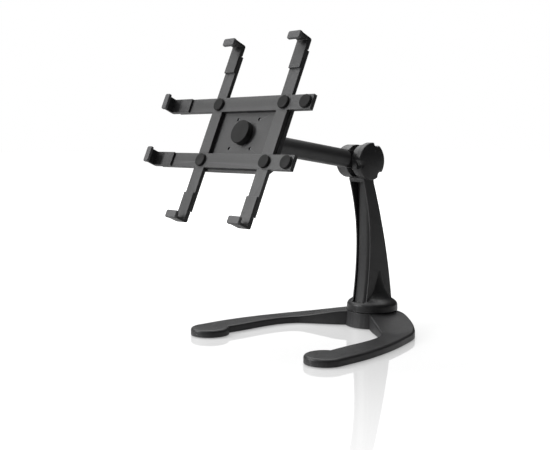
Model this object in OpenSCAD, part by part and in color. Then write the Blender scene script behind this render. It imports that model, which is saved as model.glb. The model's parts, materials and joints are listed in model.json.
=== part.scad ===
// Desk stand for a tablet. A U-shaped base carries a swivelling column, a tilting arm,
// a ball joint and a holder of rails with six hook clips.
// Millimetres. The origin is on the table, on the column's axis. +Z is up, the tablet
// faces -Y and the clamp knob is on +X.

/* [Base] */
// Height of the flat top of the two arms
arm_top = 8.8; // [8.6:0.1:9.4]
// Radius of the rounding along the arms' top edges
arm_round = 3; // [2:0.5:3.5]
// Radius of the round paddle at the end of each arm
paddle_r = 21; // [20:0.5:22]
// Radius of the hub under the column
hub_r = 29; // [28.5:0.5:30]
// Height of the hub's top face
hub_top = 18; // [17.5:0.5:19]
// How far the rubber feet stand out below the base
foot_h = 1; // [0.8:0.1:1.2]

/* [Column] */
// Width of the column across its flat sides
column_w = 22; // [21:0.5:23]
// Height of the tilt pivot
pivot_z = 188; // [186:1:190]
// Distance of the tilt pivot in front of the column's axis
pivot_forward = 25; // [24:0.5:26]
// Radius of the pivot barrel
barrel_r = 18; // [17.5:0.5:18.5]
// Radius of the clamp knob over its lobes
knob_r = 20.3; // [19.5:0.1:21]
// Number of finger notches in the clamp knob
knob_notches = 3; // [3:1:6]

/* [Arm] */
// Upward slope of the arm at rest, in degrees
arm_slope = 8; // [6:1:10]
// Distance from the tilt pivot to the centre of the ball
arm_reach = 154; // [150:1:158]
// Radius of the arm's tube
tube_r = 9.75; // [9.5:0.05:10]
// Radius of the ball
ball_r = 12.5; // [12.3:0.1:12.6]

/* [Holder] */
// Width of the tablet
tablet_w = 241.2; // [235:0.1:246]
// Height of the tablet
tablet_h = 185.7; // [180:0.1:190]
// Thickness of the tablet
tablet_t = 8.8; // [8:0.1:9.6]
// Backward lean of the tablet from upright, in degrees
tablet_lean = 24.2; // [20:0.1:28]
// Distance of the upper and lower clips from the middle
clip_x = 47; // [44:1:50]
// Distance of the side clips from the middle
clip_y = 30; // [28:1:32]
// Width of a clip
clip_w = 17; // [15:0.5:19]

/* [Hidden] */
$fn = 64;
eps = 0.01;

// Colours
abs_black = "#2b2b2c";
cap_grey = "#4a4a4b";
rubber = "#1b1b1b";
steel = "#9a9c9e";
nylon = "#d8d4c8";
brass = "#b8963e";

// Guide stations along one arm: outer edge x, y, inner edge x, y, and how much of the
// rise from the arm's top to the hub's top is left there.
arm_guides = [
  [12, 24, 12, -20, 0.97],
  [31, 19, 26, -31.5, 0.86],
  [51, 6.3, 40, -41.5, 0.54],
  [68, -8.4, 53, -50.5, 0.23],
  [82, -26.6, 64, -60, 0.03],
  [93, -57, 72, -78, 0],
  [102, -92, 75, -100, 0],
  [107.5, -130, 75.5, -130, 0],
  [108, -169, 78, -169, 0]
];
steps = 4;
paddle_at = [87, -169];
cover_t = 1.6;
wall = 4;
roof_z = 6.3;
arm_start = 6;
cover_inset = 2.6;
screw_stations = [8, 20, 29];
boss_r = 3.6;
pilot_r = 1.3;
ballast_first = 10;
ballast_last = 27;
ballast_t = 3.2;

// Hub and swivel
hub_bore_r = 15.05;
spigot_r = 15;
flange_z = 11;
hub_gap = 0.6;
column_z = hub_top + hub_gap;
hub_cover_r = 24.3;
hub_boss_at = 20.5;
hub_boss_turns = [30, 150, 270];
retaining_r = 17.2;
retaining_at = 8;
retaining_turns = [90, 210, 330];
stop_r = 22.5;
stop_arc = 108;

// Column
plate_t = 1.8;
channel_w = column_w - 2 * plate_t;
waist_z = 92;
ledge_z = 165.3;
ledge_top = 169;
slot_w = 8.2;
slot_r = 12.3;
bolt_r = 4;
tongue_t = 6.4;
tongue_r = 11;
tube_start = 25;
tube_end = arm_reach - 26;
cap_x = -20.8;
knob_x = 11.6;
knob_face = 19;

// Holder: its own frame has x across, y up the tablet and z out of the screen, with the
// origin in the middle of the tablet's back.
ball_back = 25;
tilt = 90 - tablet_lean;
ball_at = [0, -pivot_forward - arm_reach * cos(arm_slope), pivot_z + arm_reach * sin(arm_slope)];
holder_at = ball_at + ball_back * [0, -sin(tilt), cos(tilt)];
rail_front = -2.5;
rail_t = 4;
rail_w = 15;
rail_back = rail_front - rail_t;
plate_back = rail_back - 3;
flange_back = plate_back - 3;
cup_gap = 0.05;
cup_t = 0.95;
cavity_r = ball_r + 2 * cup_t + 4 * cup_gap;
socket_r = 18.5;

// ---- Helpers -----------------------------------------------------------------------

// Catmull-Rom value between b and c
function blend(a, b, c, d, t) =
  0.5 * (2 * b + (c - a) * t + (2 * a - 5 * b + 4 * c - d) * t * t
  + (3 * b - a - 3 * c + d) * t * t * t);

// Smooth stations through a list of guides, n to each interval
function smooth(p, n) = [
  for (i = [0:len(p) - 2])
    for (k = [0:(i == len(p) - 2 ? n : n - 1)])
      blend(p[max(i - 1, 0)], p[i], p[i + 1], p[min(i + 2, len(p) - 1)], k / n)
];

stations = smooth(arm_guides, steps);
function outer_at(s) = [s[0], s[1]];
function inner_at(s) = [s[2], s[3]];
function across(s) = (inner_at(s) - outer_at(s)) / norm(inner_at(s) - outer_at(s));
function middle(s) = (outer_at(s) + inner_at(s)) / 2;
function top_of(s) = arm_top + s[4] * (hub_top - arm_top);

// One cross-section of an arm, from the outer foot over the top to the inner foot
function arm_section(s) =
  let (w = norm(inner_at(s) - outer_at(s)), h = top_of(s), r = arm_round, k = r * (1 - cos(45)))
  [for (q = [[0, foot_h], [0, h - r], [k, h - k], [r, h],
             [w - r, h], [w - k, h - k], [w, h - r], [w, foot_h]])
    concat(outer_at(s) + across(s) * q[0], [q[1]])];

// Skin over rings of equal length, closed at both ends
module skin(rings) {
  n = len(rings[0]);
  m = len(rings);
  faces = concat(
    [for (i = [0:m - 2]) for (j = [0:n - 1]) [i * n + j, (i + 1) * n + j, i * n + (j + 1) % n]],
    [for (i = [0:m - 2]) for (j = [0:n - 1])
      [i * n + (j + 1) % n, (i + 1) * n + j, (i + 1) * n + (j + 1) % n]],
    [[for (j = [0:n - 1]) j]],
    [[for (j = [n - 1:-1:0]) (m - 1) * n + j]]
  );
  polyhedron(points = [for (r = rings) for (p = r) p], faces = faces, convexity = 6);
}

// Outline of one arm between two stations, drawn in from its edges
module arm_plan(inset, first, last) {
  polygon(concat(
    [for (i = [first:last]) outer_at(stations[i]) + across(stations[i]) * inset],
    [for (i = [last:-1:first]) inner_at(stations[i]) - across(stations[i]) * inset]
  ));
}

// Flat plate of the shape of one arm and its paddle
module arm_plate(inset, first, z0, t) {
  translate([0, 0, z0]) linear_extrude(t) arm_plan(inset, first, len(stations) - 1);
  translate(concat(paddle_at, [z0])) cylinder(r = paddle_r - inset, h = t);
}

// Solid disc of revolution along X, from x0 to x1
module disc_x(r, x0, x1) {
  translate([x0, 0, 0]) rotate([0, 90, 0]) cylinder(r = r, h = x1 - x0);
}

// Places children at the tilt pivot
module at_pivot() {
  translate([0, -pivot_forward, pivot_z]) children();
}

// Places children in the arm's frame: +Z of the children runs along the arm
module along_arm() {
  at_pivot() rotate([90 - arm_slope, 0, 0]) children();
}

// Places children in the holder's frame
module on_holder() {
  translate(holder_at) rotate([tilt, 0, 0]) children();
}

// Places children about the ball's centre, in the holder's frame
module at_ball() {
  on_holder() translate([0, 0, -ball_back]) children();
}

// Turned ring about Z, from z0 to z1
module ring(r0, r1, z0, z1) {
  difference() {
    translate([0, 0, z0]) cylinder(r = r1, h = z1 - z0);
    translate([0, 0, z0 - 1]) cylinder(r = r0, h = z1 - z0 + 2);
  }
}

// Screw along +Z with its head at the bottom
module screw(head_r, head_h, shank_r, length) {
  cylinder(r = head_r, h = head_h);
  translate([0, 0, head_h - eps]) cylinder(r = shank_r, h = length - head_h + eps);
}

// ---- Base --------------------------------------------------------------------------

module arm_solid() {
  skin([for (s = stations) arm_section(s)]);
}

module paddle() {
  r = arm_round;
  h = arm_top + 0.2;
  translate(paddle_at) rotate_extrude()
    polygon([[0, foot_h], [paddle_r, foot_h], [paddle_r, h - r],
      [paddle_r - r * (1 - cos(45)), h - r * (1 - sin(45))], [paddle_r - r, h], [0, h]]);
}

// Hollow of one arm, with the seat for its cover
module arm_hollow() {
  arm_plate(cover_inset - 0.2, arm_start, foot_h - 1, 1 + cover_t);
  difference() {
    arm_plate(wall, arm_start + 1, foot_h, roof_z - foot_h);
    for (i = screw_stations) translate(concat(middle(stations[i]), [0])) cylinder(r = boss_r, h = 20);
  }
  for (i = screw_stations)
    translate(concat(middle(stations[i]), [foot_h])) cylinder(r = pilot_r, h = 5.8);
}

module base_shell() {
  color(abs_black) difference() {
    union() {
      translate([0, 0, foot_h]) cylinder(r1 = hub_r + 1.5, r2 = hub_r, h = hub_top - foot_h, $fn = 96);
      for (m = [0, 1]) mirror([m, 0, 0]) {
        arm_solid();
        paddle();
      }
    }
    for (m = [0, 1]) mirror([m, 0, 0]) arm_hollow();
    translate([0, 0, foot_h - 1]) cylinder(r = hub_cover_r + 0.2, h = 1 + cover_t);
    difference() {
      translate([0, 0, foot_h]) cylinder(r = 23, h = flange_z - foot_h);
      for (a = hub_boss_turns) rotate(a) translate([hub_boss_at, 0, 0]) cylinder(r = 2.9, h = 20);
    }
    for (a = hub_boss_turns) rotate(a) translate([hub_boss_at, 0, foot_h]) cylinder(r = pilot_r, h = 8);
    cylinder(r = hub_bore_r, h = 40);
    // Seat of the thrust ring
    translate([0, 0, hub_top - 0.9]) cylinder(r = 19.6, h = 2);
    // Arc groove that stops the swivel, behind the column
    translate([0, 0, hub_top - 1.6]) rotate(90 - stop_arc / 2) rotate_extrude(angle = stop_arc)
      translate([stop_r - 1.7, 0]) square([3.4, 3]);
  }
}

module arm_cover() {
  difference() {
    arm_plate(cover_inset, arm_start, foot_h, cover_t);
    for (i = screw_stations) translate(concat(middle(stations[i]), [0])) {
      cylinder(r = 1.6, h = 10);
      cylinder(r = 3, h = foot_h + 0.9);
    }
    for (f = foot_spots) translate(concat(f[0], [0])) cylinder(r = f[1] + 0.1, h = foot_h + 0.6);
  }
}

// Centre and radius of the feet under one arm
foot_spots = [[paddle_at, 13], [middle(stations[14]), 7]];

module arm_cover_right() { color(abs_black) arm_cover(); }

module arm_cover_left() { color(abs_black) mirror([1, 0, 0]) arm_cover(); }

module hub_cover() {
  color(abs_black) difference() {
    translate([0, 0, foot_h]) cylinder(r = hub_cover_r, h = cover_t);
    for (a = hub_boss_turns) rotate(a) translate([hub_boss_at, 0, 0]) {
      cylinder(r = 1.6, h = 10);
      cylinder(r = 3, h = foot_h + 0.9);
    }
    cylinder(r = 16.1, h = foot_h + 0.6);
  }
}

module arm_cover_screws() {
  color(steel) for (m = [0, 1]) mirror([m, 0, 0]) for (i = screw_stations)
    translate(concat(middle(stations[i]), [foot_h + 0.1])) screw(2.8, 0.8, 1.25, 5.4);
}

module hub_cover_screws() {
  color(steel) for (a = hub_boss_turns) rotate(a)
    translate([hub_boss_at, 0, foot_h + 0.1]) screw(2.8, 0.8, 1.25, 7);
}

module ballast() {
  difference() {
    translate([0, 0, foot_h + cover_t + 0.1]) linear_extrude(ballast_t)
      arm_plan(wall + 1, ballast_first, ballast_last);
    translate(concat(middle(stations[screw_stations[1]]), [0])) cylinder(r = 4, h = 20);
  }
}

module ballast_right() { color(steel) ballast(); }

module ballast_left() { color(steel) mirror([1, 0, 0]) ballast(); }

module arm_feet() {
  color(rubber) for (m = [0, 1]) mirror([m, 0, 0]) for (f = foot_spots)
    translate(concat(f[0], [0])) cylinder(r = f[1], h = foot_h + 0.6);
}

module hub_foot() {
  color(rubber) cylinder(r = 16, h = foot_h + 0.6);
}

module thrust_ring() {
  color(nylon) ring(15.3, 19.4, hub_top - 0.9, column_z - 0.05);
}

// ---- Column ------------------------------------------------------------------------

// Front edge of the side plates, and front of the cover between them, at height z
function plate_front(z) = -16.75 - (z > waist_z ? 0.00229 : 0.0014) * pow(z - waist_z, 2);
function nose_front(z) = -16.95 - (z > waist_z ? 0.00066 : 0.0014) * pow(z - waist_z, 2);
// Back edge of the column at height z
function column_back(z) = 21.1 - 0.14 * (z - 32) - 0.00088 * pow(z - 32, 2);

// Extrudes a profile drawn in Y and Z to a width centred on X = 0
module across_x(w) {
  translate([-w / 2, 0, 0]) rotate([90, 0, 90]) linear_extrude(w) children();
}

module blade_profile() {
  polygon(concat(
    [for (z = [20:8:164]) [plate_front(z), z]],
    [[plate_front(ledge_top) + 0.4, ledge_top], [-26, 176], [-15, 176]],
    [for (z = [164:-12:20]) [column_back(z), z]]
  ));
}

nose_t = 3.6;

module channel_profile() {
  polygon(concat(
    [[-50, 29], [-50, ledge_z]],
    [for (z = [ledge_z:-9:30]) [nose_front(z) + nose_t + 0.1, z]],
    [[nose_front(29) + nose_t + 0.1, 29]]
  ));
}

// Hollow behind the front cover
module core_profile() {
  polygon(concat(
    [for (z = [40:10:120]) [nose_front(z) + nose_t - 1, z]],
    [for (z = [120:-10:40]) [column_back(z) - 3, z]]
  ));
}

module bell() {
  rotate_extrude($fn = 96) polygon([
    [0, column_z], [hub_r, column_z], [hub_r - 0.3, 25.4], [hub_r - 1, 27.2], [26, 29.4],
    [21, 33.2], [16.6, 39.5], [13.7, 48], [12, 56.5], [column_w / 2, 64], [0, 64]
  ]);
}

// Room for the arm's tongue between the two cheeks, over its whole swing
module tongue_slot() {
  at_pivot() {
    disc_x(slot_r, -slot_w / 2, slot_w / 2);
    across_x(slot_w)
      polygon([[6.1, -8.1], [-9.5, -19.9], [-30, -19.9], [-30, 30], [slot_r, 30], [slot_r, 0]]);
  }
}

module column() {
  color(abs_black) difference() {
    union() {
      bell();
      translate([0, 0, column_z]) mirror([0, 0, 1]) cylinder(r = spigot_r, h = column_z - 10.2);
      across_x(column_w) blade_profile();
      at_pivot() disc_x(barrel_r, -column_w / 2, column_w / 2);
      rotate(90) translate([stop_r - 1.5, -2, hub_top - 1.2]) cube([3, 4, 3]);
    }
    across_x(channel_w) channel_profile();
    across_x(channel_w - 2) core_profile();
    tongue_slot();
    at_pivot() disc_x(bolt_r + 0.05, -20, 20);
    at_pivot() translate([-20, 0, 0]) rotate([0, 90, 0]) cylinder(r = 7.6, h = 20 - 7.3, $fn = 6);
    for (a = retaining_turns) rotate(a) translate([retaining_at, 0, 0]) cylinder(r = 2.05, h = 24);
  }
}

// Cover of the column's front, with full rounded edges
module column_front() {
  hw = channel_w / 2 - 0.1;
  rx = 5;
  ry = 3;
  rings = [for (z = [29.6:8.45:ledge_z - 0.2])
    let (y = nose_front(z))
    concat(
      [[-hw, y + nose_t, z]],
      [for (a = [0:22.5:90]) [-hw + rx * (1 - cos(a)), y + ry * (1 - sin(a)), z]],
      [for (a = [90:-22.5:0]) [hw - rx * (1 - cos(a)), y + ry * (1 - sin(a)), z]],
      [[hw, y + nose_t, z]]
    )];
  color(abs_black) difference() {
    skin(rings);
    // The foot of the cover follows the bell's shoulder
    rotate_extrude($fn = 96) polygon([
      [0, 20], [hub_r, 20], [hub_r - 1, 27.3], [26.1, 29.5], [21.9, 33.9], [21, 34.6], [0, 34.6]
    ]);
  }
}

module retaining_plate() {
  color(steel) difference() {
    translate([0, 0, 8.2]) cylinder(r = retaining_r, h = 2);
    for (a = retaining_turns) rotate(a) translate([retaining_at, 0, 0]) cylinder(r = 2.2, h = 20);
  }
}

module retaining_screws() {
  color(steel) for (a = retaining_turns) rotate(a)
    translate([retaining_at, 0, 5.8]) screw(3.4, 2.4, 2, 16);
}

module swivel_friction_ring() {
  color(nylon) ring(spigot_r + 0.05, retaining_r, 10.25, flange_z - 0.05);
}

module pivot_bolt() {
  color(steel) at_pivot() {
    translate([-12.6, 0, 0]) rotate([0, 90, 0]) cylinder(r = 7.4, h = 5.2, $fn = 6);
    disc_x(bolt_r, -7.5, 18.4);
  }
}

// Outer end of the barrel, rounded, over the bolt's head
module bolt_cap() {
  r = 3.6;
  color(abs_black) at_pivot() difference() {
    rotate([0, -90, 0]) rotate_extrude() polygon(concat(
      [[0, column_w / 2], [barrel_r, column_w / 2]],
      [for (a = [0:15:90]) [barrel_r - r * (1 - cos(a)), -cap_x - r * (1 - sin(a))]],
      [[0, -cap_x]]
    ));
    disc_x(9, -13.2, -10);
  }
}

module friction_discs() {
  color(nylon) at_pivot() for (m = [0, 1]) mirror([m, 0, 0]) rotate([0, 90, 0])
    ring(bolt_r + 0.1, 11.5, tongue_t / 2 + 0.05, slot_w / 2 - 0.05);
}

module knob_washer() {
  color(steel) at_pivot() rotate([0, 90, 0]) ring(bolt_r + 0.2, 9, 11.05, 12.2);
}

// Domed knob with finger notches in its rim
module knob() {
  r = 1.6;
  notch_r = 5.5;
  notch_at = knob_r + 2.4;
  color(abs_black) at_pivot() rotate([0, 90, 0]) difference() {
    rotate_extrude($fn = 96) polygon(concat(
      [[0, knob_x], [knob_r - 1, knob_x], [knob_r, knob_x + 1]],
      [for (a = [0:30:90]) [knob_r - r * (1 - cos(a)), knob_face - r * (1 - sin(a)) - 0.3]],
      [[12, 20], [6, 20.6], [0, 20.8]]
    ));
    for (i = [0:knob_notches - 1]) rotate(notch_turn + i * 360 / knob_notches)
      translate([notch_at, 0, 0]) cylinder(r = notch_r, h = 40);
    translate([0, 0, 5]) cylinder(r = 9.5, h = 7.35);
    translate([0, 0, 5]) cylinder(r = 6.5, h = 13.7);
  }
}

// Turn that puts a notch just below the middle of the knob's front edge
notch_turn = -80;

module knob_insert() {
  color(brass) at_pivot() rotate([0, 90, 0]) ring(bolt_r + 0.05, 6.48, 12.4, 18.6);
}

// ---- Arm ---------------------------------------------------------------------------

module arm() {
  color(abs_black) difference() {
    union() {
      at_pivot() disc_x(tongue_r, -tongue_t / 2, tongue_t / 2);
      along_arm() translate([-tongue_t / 2, -9.4, 0]) cube([tongue_t, 18.8, tube_start + 2]);
      along_arm() translate([0, 0, tube_start]) cylinder(r = tube_r, h = tube_end - tube_start);
    }
    at_pivot() disc_x(bolt_r + 0.05, -20, 20);
    along_arm() translate([0, 0, 45]) cylinder(r = 6.6, h = tube_end);
  }
}

module arm_end_plug() {
  color(abs_black) along_arm() difference() {
    union() {
      translate([0, 0, tube_end - 20]) cylinder(r = 6.55, h = 20);
      translate([0, 0, tube_end]) cylinder(r = tube_r, h = 3);
    }
    translate([0, 0, tube_end - 21]) cylinder(r = 4, h = 30);
  }
}

module ball_stud() {
  color(steel) along_arm() {
    translate([0, 0, arm_reach]) sphere(r = ball_r);
    translate([0, 0, tube_end + 3]) cylinder(r = 4.3, h = arm_reach - tube_end - 8);
    translate([0, 0, tube_end - 18]) cylinder(r = 3.95, h = 22);
  }
}

// ---- Ball joint --------------------------------------------------------------------

// Thin spherical cup about the ball's centre, from the pole to an angle
module cup(r, angle) {
  at_ball() rotate_extrude() intersection() {
    difference() {
      circle(r + cup_t);
      circle(r);
    }
    polygon([[0, 0], [40 * sin(angle), 40 * cos(angle)], [40, 40], [0, 40]]);
  }
}

module friction_cup() { color(nylon) cup(ball_r + cup_gap, 62); }

module pressure_cup() { color(steel) cup(ball_r + cup_t + 2 * cup_gap, 68); }

module ball_socket() {
  color(abs_black) on_holder() difference() {
    union() {
      translate([0, 0, flange_back]) cylinder(r = 25, h = plate_back - flange_back);
      translate([0, 0, -28]) cylinder(r = socket_r, h = 28 + flange_back + 1);
    }
    translate([0, 0, -ball_back]) sphere(r = cavity_r);
    translate([0, 0, -40]) cylinder(r = cavity_r, h = 40 - ball_back);
    for (a = [45:90:315]) rotate(a) translate([21.7, 0, -20]) cylinder(r = 1.6, h = 20);
  }
}

// Screwed ring that holds the ball in its socket
module locking_ring() {
  seat = ball_r + 0.1;
  color(abs_black) at_ball() difference() {
    translate([0, 0, -11.2]) cylinder(r = 22.5, h = 17);
    for (i = [0:11]) rotate(i * 30) translate([24.3, 0, -20]) cylinder(r = 3, h = 40, $fn = 24);
    translate([0, 0, -3.2]) cylinder(r = socket_r + 0.08, h = 20);
    sphere(r = seat);
    translate([0, 0, -20]) rotate_extrude() polygon([[0, 0], [26, 0], [9.9, 12.5], [0, 12.5]]);
  }
}

module socket_screws() {
  color(steel) on_holder() for (a = [45:90:315]) rotate(a)
    translate([21.7, 0, flange_back - 1.6]) screw(2.8, 1.6, 1.5, 6.4);
}

// ---- Holder ------------------------------------------------------------------------

crossings = [for (x = [-clip_x, clip_x]) for (y = [-clip_y, clip_y]) [x, y]];

// Flat bar with round ends, lying between two points
module bar(a, b, w, z0, t) {
  translate([0, 0, z0]) linear_extrude(t) hull() {
    translate(a) circle(w / 2, $fn = 32);
    translate(b) circle(w / 2, $fn = 32);
  }
}

// Plate with round corners
module round_plate(w, h, r, z0, t) {
  translate([0, 0, z0]) linear_extrude(t) union() {
    square([w - 2 * r, h], center = true);
    square([w, h - 2 * r], center = true);
    for (x = [-1, 1]) for (y = [-1, 1]) translate([x * (w / 2 - r), y * (h / 2 - r)]) circle(r);
  }
}

module centre_plate() {
  color(abs_black) on_holder() difference() {
    round_plate(2 * clip_x + 20, 2 * clip_y + 20, 10, plate_back, 3);
    for (c = crossings) translate(c) translate([0, 0, -20]) cylinder(r = 1.6, h = 20);
    for (a = [45:90:315]) rotate(a) translate([21.7, 0, -20]) cylinder(r = 1.55, h = 20);
  }
}

// Screw holes of one rail: at its crossings and at its clips
module rail_holes(spots) {
  for (p = spots) translate(p) translate([0, 0, -20]) cylinder(r = 1.6, h = 20);
}

half_h = tablet_h / 2;
half_w = tablet_w / 2;
lap = rail_t / 2;

module upright(x) {
  color(abs_black) on_holder() difference() {
    translate([x - rail_w / 2, -half_h + 9, rail_back]) cube([rail_w, 2 * half_h - 18, rail_t]);
    for (y = [-clip_y, clip_y]) translate([x - 20, y - rail_w / 2 - 0.1, rail_back + lap])
      cube([40, rail_w + 0.2, 10]);
    rail_holes([for (y = [-clip_y, clip_y, half_h - 19, -half_h + 19]) [x, y]]);
  }
}

module crossbar(y) {
  color(abs_black) on_holder() difference() {
    translate([-half_w + 9, y - rail_w / 2, rail_back]) cube([half_w + 75, rail_w, rail_t]);
    for (x = [-clip_x, clip_x]) translate([x - rail_w / 2 - 0.1, y - 20, rail_back - 10])
      cube([rail_w + 0.2, 40, 10 + lap + 0.05]);
    rail_holes([for (x = [-clip_x, clip_x, -half_w + 19]) [x, y]]);
  }
}

module rail_left() { upright(-clip_x); }

module rail_right() { upright(clip_x); }

module rail_upper() { crossbar(clip_y); }

module rail_lower() { crossbar(-clip_y); }

module rail_screws() {
  color(steel) on_holder() for (c = crossings) translate(c)
    translate([0, 0, plate_back - 1.6]) screw(2.8, 1.6, 1.5, 8);
}

module rest_pads() {
  color(rubber) on_holder() {
    for (c = crossings) translate(c) translate([0, 0, rail_front]) cylinder(r = 6.5, h = -rail_front);
    for (y = [-clip_y, clip_y]) translate([76, y, rail_front]) cylinder(r = 6.5, h = -rail_front);
  }
}

module centre_pad() {
  color(rubber) on_holder() translate([0, 0, rail_back]) cylinder(r = 12, h = -rail_back);
}

// A clip in its own frame: +y points out over the tablet's edge, which is at y = 0
clip_gap = 0.6;
clip_t = 2.6;
clip_back = 28;
clip_heel = -5;
clip_over = 0.4;
clip_screw_at = -19;
cap_t = 3;

module clip() {
  w = clip_w - 2;
  block = 8.6;
  difference() {
    union() {
      translate([-w / 2, -clip_back, rail_front + 0.05]) cube([w, clip_back + clip_gap, 2]);
      translate([-w / 2, -block, clip_heel]) cube([w, block + clip_gap + clip_t, 4.55]);
      translate([-w / 2, clip_gap, clip_heel]) cube([w, clip_t, tablet_t + clip_over - clip_heel]);
    }
    translate([0, clip_screw_at, -20]) cylinder(r = 1.3, h = 40);
  }
}

// The soft cap that reaches over the glass
module clip_cap() {
  z0 = tablet_t + clip_over;
  r = 2.4;
  inner = -4.2;
  outer = 3.8;
  translate([0, 0, z0]) linear_extrude(cap_t) union() {
    translate([-clip_w / 2, inner + r]) square([clip_w, outer - inner - 2 * r]);
    translate([-clip_w / 2 + r, inner]) square([clip_w - 2 * r, outer - inner]);
    for (x = [-1, 1]) for (y = [inner + r, outer - r])
      translate([x * (clip_w / 2 - r), y]) circle(r, $fn = 32);
  }
}

// Places a clip at the top, bottom (side = -1) or left edge
module at_edge(x, side) {
  on_holder() translate([x, side * half_h, 0]) rotate(side > 0 ? 0 : 180) children();
}

module at_left(y) {
  on_holder() translate([-half_w, y, 0]) rotate(90) children();
}

module clip_top_left() { color(abs_black) at_edge(-clip_x, 1) clip(); }
module clip_top_right() { color(abs_black) at_edge(clip_x, 1) clip(); }
module clip_bottom_left() { color(abs_black) at_edge(-clip_x, -1) clip(); }
module clip_bottom_right() { color(abs_black) at_edge(clip_x, -1) clip(); }
module clip_left_upper() { color(abs_black) at_left(clip_y) clip(); }
module clip_left_lower() { color(abs_black) at_left(-clip_y) clip(); }

module cap_top_left() { color(cap_grey) at_edge(-clip_x, 1) clip_cap(); }
module cap_top_right() { color(cap_grey) at_edge(clip_x, 1) clip_cap(); }
module cap_bottom_left() { color(cap_grey) at_edge(-clip_x, -1) clip_cap(); }
module cap_bottom_right() { color(cap_grey) at_edge(clip_x, -1) clip_cap(); }
module cap_left_upper() { color(cap_grey) at_left(clip_y) clip_cap(); }
module cap_left_lower() { color(cap_grey) at_left(-clip_y) clip_cap(); }

module clip_screw() {
  translate([0, clip_screw_at, rail_back - 1.5]) screw(2.6, 1.5, 1.25, 7.4);
}

module clip_screws() {
  color(steel) {
    for (x = [-clip_x, clip_x]) for (s = [-1, 1]) at_edge(x, s) clip_screw();
    for (y = [-clip_y, clip_y]) at_left(y) clip_screw();
  }
}

base_shell();
arm_cover_left();
arm_cover_right();
hub_cover();
arm_cover_screws();
hub_cover_screws();
ballast_left();
ballast_right();
arm_feet();
hub_foot();
thrust_ring();
column();
column_front();
retaining_plate();
retaining_screws();
swivel_friction_ring();
pivot_bolt();
bolt_cap();
friction_discs();
knob_washer();
knob();
knob_insert();
arm();
arm_end_plug();
ball_stud();
friction_cup();
pressure_cup();
ball_socket();
locking_ring();
socket_screws();
centre_plate();
rail_left();
rail_right();
rail_upper();
rail_lower();
rail_screws();
rest_pads();
centre_pad();
clip_screws();
clip_top_left();
clip_top_right();
clip_bottom_left();
clip_bottom_right();
clip_left_upper();
clip_left_lower();
cap_top_left();
cap_top_right();
cap_bottom_left();
cap_bottom_right();
cap_left_upper();
cap_left_lower();
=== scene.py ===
import json
import math

import bmesh
import bpy
import numpy as np
from bpy.props import FloatProperty, FloatVectorProperty, IntProperty, PointerProperty
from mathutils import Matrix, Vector


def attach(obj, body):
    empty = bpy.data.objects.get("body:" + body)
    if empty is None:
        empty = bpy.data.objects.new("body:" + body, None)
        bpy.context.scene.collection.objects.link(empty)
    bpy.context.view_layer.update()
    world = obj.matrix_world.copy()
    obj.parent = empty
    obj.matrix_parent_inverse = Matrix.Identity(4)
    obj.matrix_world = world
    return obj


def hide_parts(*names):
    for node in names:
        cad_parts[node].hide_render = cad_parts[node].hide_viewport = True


bl_info = {
    "name": "Tablet stand",
    "version": (1, 0, 0),
    "blender": (4, 5, 0),
    "location": "View3D > Sidebar > Tablet stand",
    "description": "Builds the looks of a desk stand for a tablet around its packed parts",
    "category": "Object",
}

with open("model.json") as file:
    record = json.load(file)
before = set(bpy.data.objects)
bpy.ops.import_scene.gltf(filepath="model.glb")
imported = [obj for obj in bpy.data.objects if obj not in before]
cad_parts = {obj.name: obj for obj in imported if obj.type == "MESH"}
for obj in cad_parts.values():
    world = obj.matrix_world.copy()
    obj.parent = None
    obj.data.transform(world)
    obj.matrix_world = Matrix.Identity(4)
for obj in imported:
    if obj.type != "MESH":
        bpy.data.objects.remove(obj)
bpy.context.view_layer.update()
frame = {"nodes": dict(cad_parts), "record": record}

MM = 0.001
EDGE_SOFTENING = 0.5


# ---- Colours and nodes --------------------------------------------------------------

def linear(hex_colour):
    """An sRGB hex colour as a linear colour with alpha 1."""
    s = np.array([int(hex_colour[i:i + 2], 16) / 255 for i in (1, 3, 5)])
    low = s / 12.92
    high = ((s + 0.055) / 1.055) ** 2.4
    return (*np.where(s <= 0.04045, low, high).tolist(), 1.0)


def add_node(tree, kind, settings=None, inputs=None):
    """Adds a node with its settings. An input is a value, or another node's output to link."""
    node = tree.nodes.new("ShaderNode" + kind)
    for key, value in (settings or {}).items():
        setattr(node, key, value)
    for key, value in (inputs or {}).items():
        if isinstance(value, bpy.types.NodeSocket):
            tree.links.new(value, node.inputs[key])
        else:
            node.inputs[key].default_value = value
    return node


def new_material(name, shader):
    """An empty node material with one surface shader; returns the material, tree and shader."""
    mat = bpy.data.materials.new(name)
    mat.use_nodes = True
    tree = mat.node_tree
    tree.nodes.clear()
    bsdf = add_node(tree, "BsdfPrincipled", inputs=shader)
    out = add_node(tree, "OutputMaterial", inputs={"Surface": bsdf.outputs["BSDF"]})
    out.is_active_output = True
    return mat, tree, bsdf


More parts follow.
